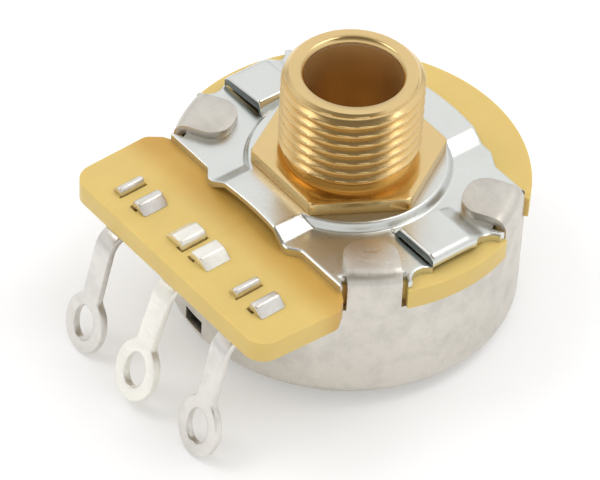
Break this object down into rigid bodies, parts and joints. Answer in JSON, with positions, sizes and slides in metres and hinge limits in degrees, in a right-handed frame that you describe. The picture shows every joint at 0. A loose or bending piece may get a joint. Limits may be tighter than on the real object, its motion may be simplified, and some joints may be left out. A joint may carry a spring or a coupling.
{
  "type": "potentiometer",
  "caption": "Panel potentiometer with a threaded bushing, a hexagon flange, a round steel case, a tongue with solder lugs and a recessed screwdriver-slot shaft.",
  "frame": {"origin": "centre of the hexagon flange's front face, where the panel seats, on the axis of the bushing and the shaft", "axes": "+Z along the axis, out of the threaded bushing; the tongue with the solder lugs points along -Y; +X to the right of it when the bushing faces the viewer and the tongue points down"},
  "size_m": [0.0244, 0.0308, 0.0195],
  "materials": {
    "turned_brass": "machined, lightly tarnished",
    "zinc_plate": "bright zinc plate",
    "laminate": "satin paper laminate",
    "carbon_film": "satin",
    "silver_print": "satin",
    "tinned_brass": "satin tin plate",
    "case_plate": "satin plate",
    "shaft_brass": "turned",
    "fibre": "matte",
    "spring_steel": "bright",
    "moulding": "satin",
    "spring_bronze": "bright"
  },
  "bodies": {
    "housing": {"bushing": "turned_brass", "front_plate": "zinc_plate", "element_board": "laminate", "resistive_track": "carbon_film", "collector_track": "silver_print", "end_pad_left": "silver_print", "end_pad_right": "silver_print", "terminal_left": "tinned_brass", "terminal_wiper": "tinned_brass", "terminal_right": "tinned_brass", "rear_case": "case_plate", "thrust_washer": "fibre"},
    "rotor assembly": {"shaft": "shaft_brass", "retaining_ring": "spring_steel", "rotor": "moulding", "wiper_spring": "spring_bronze"}
  },
  "joints": [
    {"name": "shaft_turn", "type": "hinge", "parent": "housing", "child": "rotor assembly", "pos_m": [0, 0, 0], "axis": [0, 0, 1], "range_deg": [-150, 150]}
  ]
}
